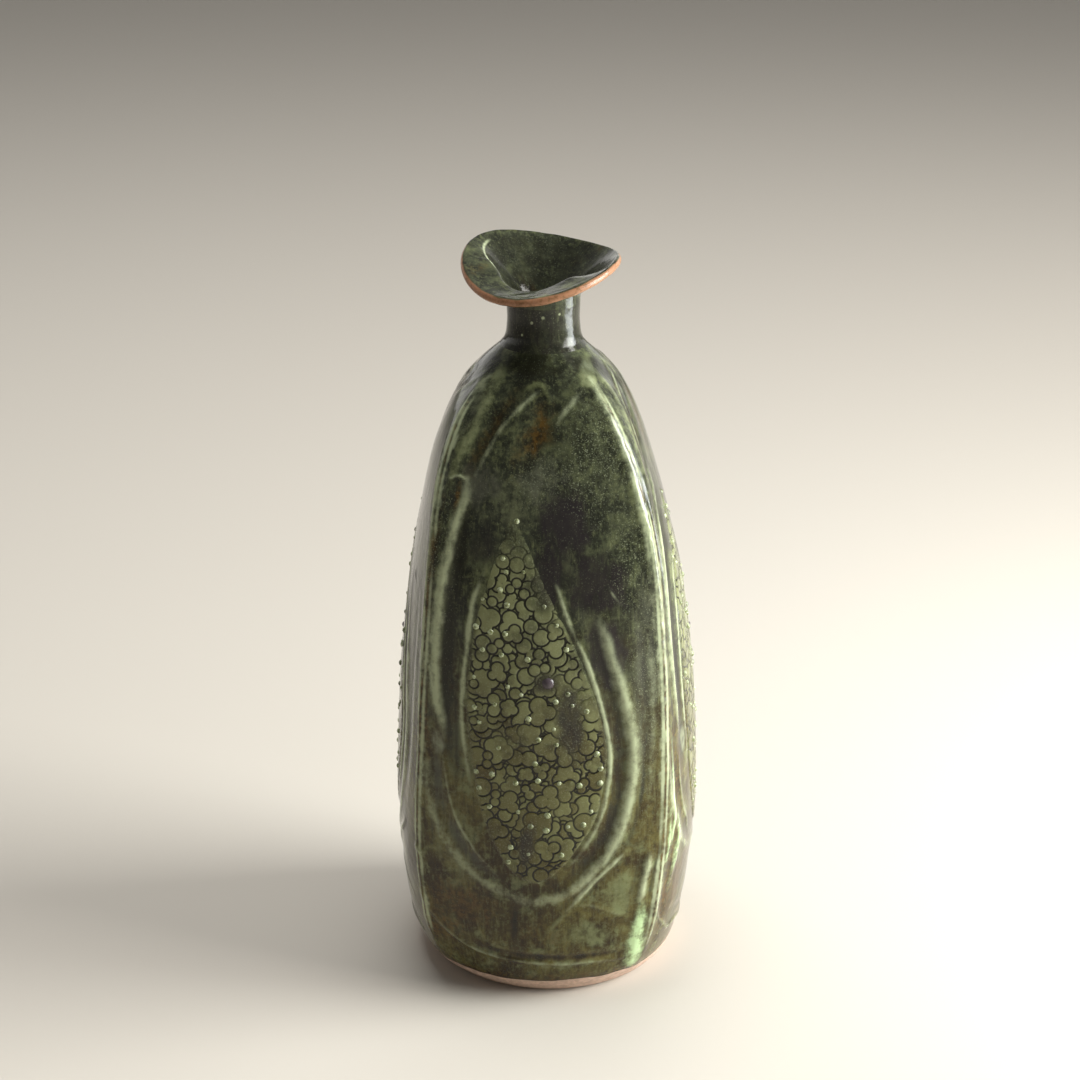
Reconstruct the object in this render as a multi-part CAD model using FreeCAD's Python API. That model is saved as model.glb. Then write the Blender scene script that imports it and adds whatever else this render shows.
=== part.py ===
"""Squared stoneware sake bottle, hand-built from slabs, with a thrown neck and a warped pouring lip.

Millimetres. +Z is up, the origin is the centre of the flat foot, and -Y is the front face.
"""
import FreeCAD, Part
import math
import os
import random

Vector = FreeCAD.Vector

# Driving dimensions of the body. Each row is one height of the outside, from the foot to the neck:
# (height, half width across the flats, squareness, sideways lean, twist in degrees).
# Squareness is corner over half width: 0.7071 is a circle, 1.0 would be a sharp square.
ROUND = math.sqrt(0.5)
body_rows = [
    (0.0, 35.4, ROUND, 0.0, 0.0),
    (4.0, 38.6, 0.720, -0.6, 0.0),
    (10.0, 40.7, 0.748, -1.0, 0.0),
    (25.0, 43.3, 0.780, -1.0, 0.2),
    (52.0, 45.0, 0.797, -0.8, 0.8),
    (85.0, 43.7, 0.806, -0.9, 2.2),
    (115.0, 40.5, 0.827, -1.2, 3.0),
    (140.0, 36.0, 0.870, -1.8, 3.4),
    (160.0, 30.9, 0.895, -2.6, 3.0),
    (174.0, 25.4, 0.872, -2.8, 1.6),
    (184.0, 18.4, 0.795, -2.5, 0.4),
    (190.0, 12.3, ROUND, -2.1, 0.0),
]
floor_thickness = 7.0
wall_top = 190.0
wall_heights = [floor_thickness, 14, 25, 38, 52, 68, 85, 100, 115, 128, 140, 150, 160, 168, 174, 180, 185, wall_top]
wall_thickness = 5.1
corner_extra = 0.85          # the cavity's corners come in by this share of the wall thickness
foot_chamfer = 0.8

# Neck
neck_radius = 10.4
neck_waist_radius = 10.2
bore_radius = 7.2
neck_top = 202.0
neck_lean = -2.1

# Lip: a thin dish whose rim rises and falls as it goes round. Angles run from +X towards the back.
rim_half_width = 21.2
rim_half_depth = 22.6
rim_lean = -2.8
rim_height = 213.8
rim_back_rise = 3.65
rim_side_rise = 1.4
rim_twist = -1.7
lip_thickness = 2.4
throat_curl = 0.62           # how the dish climbs from the throat to the rim: 1 is straight, less curls over
throat_curl_back = 0.32
throat_curl_right = 0.15
lip_stations = 16

# Medallions: one low pad on each face, its outline in (across, height), with beads and one boss
pad_rise = 0.9
prism_reach = 60.0           # length of the prism that trims the pad, past the widest face
pad_root = 2.0               # how far the uncut pad reaches into the wall before the wall trims it
pad_outline = [(0, 40), (6.6, 44.5), (12.8, 53), (18, 64), (19.8, 82), (17, 95.5), (12.8, 107.5), (6.8, 122), (1, 139),
               (-7, 154), (-13.5, 146), (-18.6, 130), (-22, 109), (-23, 95), (-20.8, 77), (-17.5, 61.5), (-10.8, 47.5),
               (-6.2, 42.5)]
bead_radius = 0.85
bead_count = 54
bead_spacing = 3.6
bead_edge_gap = 1.6
boss_radius = 2.0
boss_place = (1.5, 103.5)
bead_sunk = 0.3              # share of the radius that is below the pad's surface

glaze_thickness = 0.4

side_names = ["front", "right", "back", "left"]


def row_value(column, height):
    """Smooth value of one column of body_rows at a height: a monotone cubic between the rows."""
    rows = body_rows
    height = min(max(height, rows[0][0]), rows[-1][0])
    spot = max(i for i in range(len(rows) - 1) if rows[i][0] <= height)
    steps = [rows[i + 1][0] - rows[i][0] for i in range(len(rows) - 1)]
    slopes = [(rows[i + 1][column] - rows[i][column]) / steps[i] for i in range(len(rows) - 1)]

    def tangent(i):
        if i == 0:
            return slopes[0]
        if i == len(rows) - 1:
            return slopes[-1]
        before, after = slopes[i - 1], slopes[i]
        if before * after <= 0:
            return 0.0
        return 2 * before * after / (before + after)

    step = steps[spot]
    t = (height - rows[spot][0]) / step
    return ((1 + 2 * t) * (1 - t) ** 2 * rows[spot][column] + t * (1 - t) ** 2 * step * tangent(spot)
            + t * t * (3 - 2 * t) * rows[spot + 1][column] - t * t * (1 - t) * step * tangent(spot + 1))


def outer_size(height, grow=0.0):
    """Half width and corner distance of the outside at a height, grown outwards by some millimetres."""
    half = row_value(1, height)
    corner = half * row_value(2, height)
    return half + grow, corner + grow * corner_extra


def inner_size(height, shrink=0.0):
    """Half width and corner distance of the cavity at a height."""
    half, corner = outer_size(height)
    inset = wall_thickness + shrink
    return half - inset, corner - inset * corner_extra


def turned(side, across, outward, height):
    """A point given on one face (across, outward) as a point of the bottle, with its twist and lean."""
    turn = math.radians(90 * side + row_value(4, height))
    x = across * math.cos(turn) + outward * math.sin(turn)
    y = across * math.sin(turn) - outward * math.cos(turn)
    return Vector(x + row_value(3, height), y, height)


def face_arc(side, size, height):
    """The curved edge of one face: through both corners and the middle of the face."""
    half, corner = size
    start = turned(side, -corner, corner, height)
    middle = turned(side, 0, half, height)
    end = turned(side, corner, corner, height)
    return Part.Arc(start, middle, end).toShape()


def ring_wire(size, height):
    """A whole section of the body: four face arcs."""
    return Part.Wire([face_arc(side, size, height) for side in range(4)])


def strip_wire(side, outer, inner, height):
    """A section of one wall: its outer arc, its inner arc and the two mitres between them."""
    outside = face_arc(side, outer, height)
    inside = face_arc(side, inner, height)
    left_mitre = Part.LineSegment(turned(side, -inner[1], inner[1], height),
                                  turned(side, -outer[1], outer[1], height)).toShape()
    right_mitre = Part.LineSegment(turned(side, outer[1], outer[1], height),
                                   turned(side, inner[1], inner[1], height)).toShape()
    return Part.Wire([outside, right_mitre, inside, left_mitre])


def make_base():
    """The floor slab with the round, flat foot and its small chamfer."""
    half, corner = outer_size(0)
    heights = [foot_chamfer, 3.0, 5.0, floor_thickness]
    body = Part.makeLoft([ring_wire(outer_size(h), h) for h in heights], True, False)
    edge_half, edge_corner = outer_size(foot_chamfer)
    bottom = ring_wire((half - foot_chamfer, (half - foot_chamfer) * ROUND), 0)
    top = ring_wire((edge_half, edge_corner), foot_chamfer)
    chamfer = Part.makeLoft([bottom, top], True, True)
    return body.fuse(chamfer).removeSplitter()


def make_wall(side):
    """One slab of the body, mitred to its neighbours along the corners."""
    sections = [strip_wire(side, outer_size(h), inner_size(h), h) for h in wall_heights]
    return Part.makeLoft(sections, True, False)


def make_neck():
    """The thrown neck: it flares out to meet the shoulder, and its bore is straight."""
    shoulder = outer_size(wall_top)[0]
    points = [Vector(shoulder, 0, wall_top), Vector(11.0, 0, wall_top + 2.4),
              Vector(neck_waist_radius, 0, wall_top + 6.5), Vector(neck_radius, 0, neck_top)]
    outside = Part.BSplineCurve()
    outside.interpolate(points)
    top = Part.LineSegment(points[-1], Vector(bore_radius, 0, neck_top)).toShape()
    bore = Part.LineSegment(Vector(bore_radius, 0, neck_top), Vector(bore_radius, 0, wall_top)).toShape()
    bottom = Part.LineSegment(Vector(bore_radius, 0, wall_top), points[0]).toShape()
    profile = Part.Face(Part.Wire([outside.toShape(), top, bore, bottom]))
    neck = profile.revolve(Vector(0, 0, 0), Vector(0, 0, 1), 360)
    neck.translate(Vector(neck_lean, 0, 0))
    return neck


def rim_at(angle):
    """Height of the rim at an angle."""
    return (rim_height + rim_back_rise * math.sin(angle) + rim_side_rise * math.cos(2 * angle)
            + rim_twist * math.sin(2 * angle))


def dish_height(share, angle):
    """Height of the lip's upper skin: share is 0 at the throat and 1 at the rim."""
    curl = throat_curl + throat_curl_back * math.sin(angle) + throat_curl_right * math.cos(angle)
    return neck_top + (rim_at(angle) - neck_top) * share ** curl


def lip_section(angle):
    """The lip cut by a half plane at an angle: bore, dish, rounded rim, underside and neck."""
    rim_radius = rim_half_width * rim_half_depth / math.hypot(
        rim_half_depth * math.cos(angle), rim_half_width * math.sin(angle))

    def at(share, start, drop):
        radius = start + (rim_radius - start) * share
        dish_share = (radius - bore_radius) / (rim_radius - bore_radius)
        centre = neck_lean + (rim_lean - neck_lean) * dish_share
        return Vector(centre + radius * math.cos(angle), radius * math.sin(angle),
                      dish_height(dish_share, angle) - drop)

    shares = [0.0, 0.06, 0.16, 0.3, 0.5, 0.72, 0.9, 1.0]
    upper = [at(s, bore_radius, 0.0) for s in shares]
    under = [at(s, neck_radius, lip_thickness) for s in shares[:0:-1]] + [at(0.03, neck_radius, lip_thickness + 0.6)]
    foot_out = Vector(neck_lean + neck_radius * math.cos(angle), neck_radius * math.sin(angle), neck_top)
    foot_in = Vector(neck_lean + bore_radius * math.cos(angle), bore_radius * math.sin(angle), neck_top)
    outward = Vector(math.cos(angle), math.sin(angle), 0)
    nose = (upper[-1] + under[0]) * 0.5 + outward * (lip_thickness * 0.45)
    return upper, nose, under, foot_out, foot_in


def spline_edge(points):
    curve = Part.BSplineCurve()
    curve.interpolate(points)
    return curve.toShape()


def lip_wire(angle):
    upper, nose, under, foot_out, foot_in = lip_section(angle)
    edges = [spline_edge(upper), Part.Arc(upper[-1], nose, under[0]).toShape(),
             spline_edge(under + [foot_out]), Part.LineSegment(foot_out, foot_in).toShape()]
    return Part.Wire(edges)


def make_lip():
    """The warped lip, lofted once round through its radial sections."""
    wires = [lip_wire(2 * math.pi * i / lip_stations) for i in range(lip_stations)]
    return Part.makeLoft(wires, True, False, True)


def pad_point(side, across, height):
    """A point on the surface of a pad, given by its place across the face and its height."""
    half, corner = outer_size(height, pad_rise)
    bulge = half - corner
    radius = (corner * corner + bulge * bulge) / (2 * bulge)
    return turned(side, across, half - radius + math.sqrt(radius * radius - across * across), height)


def facing(side):
    """The direction a face looks in."""
    turn = math.radians(90 * side)
    return Vector(math.sin(turn), -math.cos(turn), 0)


def outline_points(side):
    """The pad's outline on the surface, pressed flat onto a plane through the bottle's axis."""
    points = [pad_point(side, across, height) for across, height in pad_outline]
    return [point - facing(side) * point.dot(facing(side)) for point in points]


def make_pad(side, wall):
    """A low pad on one face: the face grown outwards, trimmed to the outline and cut by the wall."""
    heights = [h for h in wall_heights if 30 <= h <= 165]
    sections = [strip_wire(side, outer_size(h, pad_rise), outer_size(h, -pad_root), h) for h in heights]
    skin = Part.makeLoft(sections, True, False)
    outline = Part.BSplineCurve()
    outline.interpolate(outline_points(side), PeriodicFlag=True)
    face = Part.Face(Part.Wire([outline.toShape()]))
    prism = face.extrude(facing(side) * prism_reach)
    return skin.common(prism).cut(wall)


def inside_outline(across, height, margin):
    """True where a point and its four neighbours at the margin all lie inside the pad's outline."""
    def inside(x, z):
        crossings = 0
        for (x0, z0), (x1, z1) in zip(pad_outline, pad_outline[1:] + pad_outline[:1]):
            if (z0 > z) != (z1 > z) and x < x0 + (z - z0) * (x1 - x0) / (z1 - z0):
                crossings += 1
        return crossings % 2 == 1
    spots = [(0, 0), (margin, 0), (-margin, 0), (0, margin), (0, -margin)]
    return all(inside(across + dx, height + dz) for dx, dz in spots)


def bead_places(side):
    """Scattered bead centres on one pad, never closer than the spacing, clear of the boss."""
    chance = random.Random(20 + side)
    places = []
    while len(places) < bead_count:
        spot = (chance.uniform(-23, 21), chance.uniform(40, 152))
        if not inside_outline(spot[0], spot[1], bead_edge_gap):
            continue
        if math.dist(spot, boss_place) < boss_radius + bead_spacing:
            continue
        if all(math.dist(spot, other) > bead_spacing for other in places):
            places.append(spot)
    return places


def pad_frame(side, across, height):
    """Point on the pad's surface and its outward normal, for a place given across and up."""
    step = 0.5
    along = pad_point(side, across + step, height) - pad_point(side, across - step, height)
    up = pad_point(side, across, height + step) - pad_point(side, across, height - step)
    normal = along.cross(up)
    normal.normalize()
    return pad_point(side, across, height), normal


def make_bead(side, place, radius):
    """A bead: the part of a sphere that stands above the pad, with a flat back."""
    point, normal = pad_frame(side, place[0], place[1])
    lowest = math.degrees(math.asin(bead_sunk))
    centre = point - normal * (radius * bead_sunk)
    return Part.makeSphere(radius, centre, normal, lowest, 90, 360)


def make_beads(side):
    beads = [make_bead(side, place, bead_radius) for place in bead_places(side)]
    beads.append(make_bead(side, boss_place, boss_radius))
    return Part.makeCompound(beads)


def cavity_solid(shrink):
    """The space inside the walls, up to the neck."""
    heights = [h + shrink if h == floor_thickness else h for h in wall_heights]
    return Part.makeLoft([ring_wire(inner_size(h, shrink), h) for h in heights], True, False)


def make_lining(cavity):
    """The thin coat of glaze poured round the inside: floor and walls, open at the neck."""
    return cavity.cut(cavity_solid(glaze_thickness))


os.makedirs("parts", exist_ok=True)
cavity = cavity_solid(0.0)
nodes = {"base_slab": make_base(), "neck_collar": make_neck(), "lip": make_lip(), "glaze_lining": make_lining(cavity)}
for side, name in enumerate(side_names):
    wall = make_wall(side)
    nodes["wall_" + name] = wall
    nodes["medallion_" + name] = make_pad(side, wall)
    nodes["pearls_" + name] = make_beads(side)
for name, shape in nodes.items():
    print(name, "solids", len(shape.Solids), "valid", shape.isValid(), "volume", round(shape.Volume, 1))
    shape.exportStep("parts/" + name + ".step")
print("capacity in ml", round(cavity.Volume / 1000))
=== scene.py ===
import bpy
import numpy as np
import random
from math import cos, dist, hypot, pi, radians, sin
from mathutils import Matrix, Vector


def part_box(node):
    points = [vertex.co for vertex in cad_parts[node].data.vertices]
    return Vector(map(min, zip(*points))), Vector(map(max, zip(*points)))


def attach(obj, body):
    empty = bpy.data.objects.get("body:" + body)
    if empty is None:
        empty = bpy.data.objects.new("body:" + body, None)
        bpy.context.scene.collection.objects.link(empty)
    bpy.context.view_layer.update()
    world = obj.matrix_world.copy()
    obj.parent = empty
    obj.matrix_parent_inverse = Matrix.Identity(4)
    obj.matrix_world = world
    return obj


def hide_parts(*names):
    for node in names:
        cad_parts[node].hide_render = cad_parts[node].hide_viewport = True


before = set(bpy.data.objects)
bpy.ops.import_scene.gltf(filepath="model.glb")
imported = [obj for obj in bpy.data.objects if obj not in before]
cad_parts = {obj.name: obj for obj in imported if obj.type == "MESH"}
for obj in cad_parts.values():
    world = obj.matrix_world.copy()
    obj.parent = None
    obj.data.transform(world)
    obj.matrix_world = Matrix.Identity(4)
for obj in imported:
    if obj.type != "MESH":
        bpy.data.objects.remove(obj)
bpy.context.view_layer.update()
print("frame loaded:", len(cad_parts), "nodes")

mm = 0.001
sideNames = ["front", "right", "back", "left"]

# The shape of the bottle, in millimetres.

bodyShape = {
    "top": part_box("wall_front")[1].z / mm,          # where the shoulder meets the neck
    "floor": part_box("wall_front")[0].z / mm,        # where the walls stand on the base slab
    "half": -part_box("wall_front")[0].y / mm,        # widest half width across the flats
    # height and half width as shares of the sizes above, squareness (0.707 is round), lean, twist in degrees
    "rows": [(0.0000, 0.7867, 0.7071, 0.0000, 0.0), (0.0211, 0.8578, 0.7200, -0.0133, 0.0),
             (0.0526, 0.9044, 0.7480, -0.0222, 0.0), (0.1316, 0.9622, 0.7800, -0.0222, 0.2),
             (0.2737, 1.0000, 0.7970, -0.0178, 0.8), (0.4474, 0.9711, 0.8060, -0.0200, 2.2),
             (0.6053, 0.9000, 0.8270, -0.0267, 3.0), (0.7368, 0.8000, 0.8700, -0.0400, 3.4),
             (0.8421, 0.6867, 0.8950, -0.0578, 3.0), (0.9158, 0.5644, 0.8720, -0.0622, 1.6),
             (0.9684, 0.4089, 0.7950, -0.0556, 0.4), (1.0000, 0.2733, 0.7071, -0.0467, 0.0)],
    "cornerRadius": 7.0,       # rounding of the corners where two slabs meet
    "wallThickness": 5.0,
    "footChamfer": 0.8,
    "wobble": 0.28,            # how far the slabs wave in and out
    "wobbleSize": 26.0,
}


def monotone(x, y, at):
    # smooth curve through a few rows that never overshoots them
    slope = np.diff(y) / np.diff(x)
    tangent = np.concatenate([[slope[0]], np.zeros(len(x) - 2), [slope[-1]]])
    product = slope[:-1] * slope[1:]
    total = slope[:-1] + slope[1:]
    tangent[1:-1] = np.where(product > 0, 2 * product / np.where(total == 0, 1, total), 0)
    i = np.clip(np.searchsorted(x, at, side="right") - 1, 0, len(x) - 2)
    step = x[i + 1] - x[i]
    t = np.clip((at - x[i]) / step, 0, 1)
    return ((1 + 2 * t) * (1 - t) ** 2 * y[i] + t * (1 - t) ** 2 * step * tangent[i]
            + t * t * (3 - 2 * t) * y[i + 1] - t * t * (1 - t) * step * tangent[i + 1])


def bodyRow(column, height):
    rows = np.array(bodyShape["rows"])
    scale = {1: bodyShape["half"], 2: 1.0, 3: bodyShape["half"], 4: 1.0}[column]
    return monotone(rows[:, 0] * bodyShape["top"], rows[:, column] * scale, height)


def facePlan(height, inset=0.0):
    # the arc of one face at a height: its half width, radius and half angle
    half = bodyRow(1, height)
    corner = half * bodyRow(2, height)
    half, corner = half - inset, corner - 0.85 * inset
    bulge = np.maximum(half - corner, 1e-3)
    radius = (corner ** 2 + bulge ** 2) / (2 * bulge)
    return half, radius, np.arcsin(np.clip(corner / radius, -1, 1))


def placeOnSide(side, across, outward, height):
    turn = np.radians(90 * side + bodyRow(4, height))
    x = across * np.cos(turn) + outward * np.sin(turn) + bodyRow(3, height)
    y = across * np.sin(turn) - outward * np.cos(turn)
    return np.stack([x, y, height + 0 * x], -1)


def smoothstep(low, high, value):
    t = np.clip((value - low) / (high - low), 0, 1)
    return t * t * (3 - 2 * t)


def bell(gap, width):
    return np.exp(-(gap / width) ** 2)


def segmentGap(x, z, start, end):
    # distance from points to a straight piece of a path, and how far along it they are
    span = end[:2] - start[:2]
    t = np.clip(((x - start[0]) * span[0] + (z - start[1]) * span[1]) / max(span @ span, 1e-9), 0, 1)
    return np.hypot(x - start[0] - t * span[0], z - start[1] - t * span[1]), t


def pointsInBox(across, height, low, high):
    return np.nonzero((across > low[0]) & (across < high[0]) & (height > low[1]) & (height < high[1]))


def insideLoop(loop, across, height):
    hits = np.zeros(np.shape(across), int)
    for (x0, z0), (x1, z1) in zip(loop, np.roll(loop, -1, 0)):
        if z0 != z1:
            crossing = x0 + (height - z0) * (x1 - x0) / (z1 - z0)
            hits = hits + (((z0 > height) != (z1 > height)) & (across < crossing))
    return hits % 2 == 1


def edgePairs(loop, closed=False):
    return [tuple(sorted(pair)) for pair in zip(loop, loop[1:] + loop[:1] * closed)]


def blankTints(shape):
    return {name: np.zeros(shape) for name in tintNames}


def raiseTint(tints, name, amount):
    # where two marks meet, the stronger tint stays
    tints[name] = np.maximum(tints[name], amount)


def bodySkin(side, share, height, inset=0.0):
    # point, outward direction, distance across the face and half length of the face, all along the surface
    half, radius, swing = facePlan(height, inset)
    angle = share * swing
    point = placeOnSide(side, radius * np.sin(angle), half - radius + radius * np.cos(angle), height)
    gap = radius * swing * (1 - np.abs(share))
    soften = np.maximum(bodyShape["cornerRadius"] * np.tan(np.maximum(pi / 4 - swing, 0)), 1e-3)
    edge = np.clip(1 - gap / soften, 0, 1)
    lookAngle = angle + np.sign(share) * edge * (pi / 4 - swing)
    rise = 0.5
    steep = (bodyRow(1, height + rise) - bodyRow(1, height - rise)) / (2 * rise)
    turn = np.radians(90 * side + bodyRow(4, height)) + lookAngle
    direction = np.stack([np.sin(turn), -np.cos(turn), -np.clip(steep, -1.2, 1.2) + 0 * turn], -1)
    direction /= np.linalg.norm(direction, axis=-1, keepdims=True)
    rounding = -(soften * edge) ** 2 / (2 * bodyShape["cornerRadius"])
    return point + direction * rounding[..., None], direction, radius * angle, radius * swing


def latticeNoise(points, size, seed):
    # smooth noise from -1 to 1 on a lattice of the given size
    cell = points / size
    base = np.floor(cell).astype(np.int64)
    part = cell - base
    part = part * part * (3 - 2 * part)
    total = np.zeros(points.shape[:-1])
    for corner in range(8):
        offset = np.array([corner & 1, corner >> 1 & 1, corner >> 2 & 1])
        spot = base + offset
        code = spot[..., 0] * 374761393 + spot[..., 1] * 668265263 + spot[..., 2] * 2147483647
        code = code + seed * 974711
        code = (code ^ (code >> 13)) * 1274126177 & 0xFFFFFFFF
        value = ((code ^ (code >> 16)) & 0xFFFF) / 32767.5 - 1
        weight = np.prod(np.where(offset == 1, part, 1 - part), axis=-1)
        total += value * weight
    return total


def layeredNoise(points, size, seed, layers=3):
    total = np.zeros(points.shape[:-1])
    for layer in range(layers):
        total += latticeNoise(points, size / 2 ** layer, seed + layer) / 2 ** layer
    return total / 1.6


def stroke(width, rise, path, **tints):
    return {"width": width, "rise": rise, "path": path, **tints}


def patch(at, size, turn=0, **tints):
    return {"at": at, "size": size, "turn": turn, **tints}


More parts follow.
